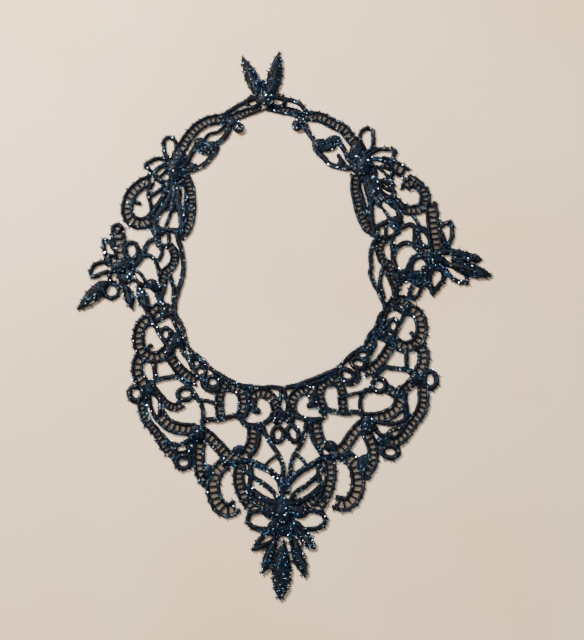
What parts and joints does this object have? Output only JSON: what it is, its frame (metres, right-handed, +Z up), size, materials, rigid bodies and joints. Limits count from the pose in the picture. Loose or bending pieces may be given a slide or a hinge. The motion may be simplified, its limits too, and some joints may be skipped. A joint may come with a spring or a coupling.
{
  "type": "lace collar",
  "caption": "Beaded black lace collar laid flat: bead-edged cords, ladder tapes, leaf sprigs and a leaf pendant round an open neck, hooked together at the nape.",
  "frame": {"origin": "middle of the collar's outline, on the surface that it lies on", "axes": "+Y from the pendant towards the clasp, +X to the viewer's right, +Z up off the surface"},
  "size_m": [0.2706, 0.36, 0.0049],
  "materials": {
    "wound_cord": "thread-wound cord and ladder tape, nearly black with a blue cast",
    "beaded_leaf": "padded leaves covered in small dark iridescent glass beads",
    "wound_knot": "tightly wound thread knots with a low sheen",
    "dark_steel": "blackened wire hook and stud"
  },
  "bodies": {
    "root": {"strap_left": "wound_cord", "strap_right": "wound_cord", "shoulder_left": "wound_cord", "shoulder_right": "wound_cord", "side_left": "wound_cord", "side_right": "wound_cord", "sprig_left": "wound_cord", "sprig_right": "wound_cord", "bib_upper_left": "wound_cord", "bib_upper_right": "wound_cord", "bib_outer_left": "wound_cord", "bib_outer_right": "wound_cord", "bib_inner_left": "wound_cord", "bib_inner_right": "wound_cord", "bib_lower_left": "wound_cord", "bib_lower_right": "wound_cord", "pendant": "wound_cord", "clasp_leaf_left": "beaded_leaf", "clasp_leaf_right": "beaded_leaf", "sprig_leaf_left": "beaded_leaf", "low_leaf_one_left": "beaded_leaf", "low_leaf_two_left": "beaded_leaf", "sprig_leaf_right": "beaded_leaf", "pendant_leaf_centre": "beaded_leaf", "pendant_leaf_left": "beaded_leaf", "pendant_leaf_right": "beaded_leaf", "pendant_leaf_upper": "beaded_leaf", "clasp_knot": "wound_knot", "strap_ball_left": "wound_knot", "strap_ball_right": "wound_knot", "shoulder_knot_left": "wound_knot", "shoulder_knot_right": "wound_knot", "sprig_knot_left": "wound_knot", "sprig_knot_right": "wound_knot", "side_ball_left": "wound_knot", "bib_knot_left": "wound_knot", "bib_knot_right": "wound_knot", "pendant_knot": "wound_knot", "clasp_stud": "dark_steel", "clasp_hook": "dark_steel"}
  },
  "joints": []
}
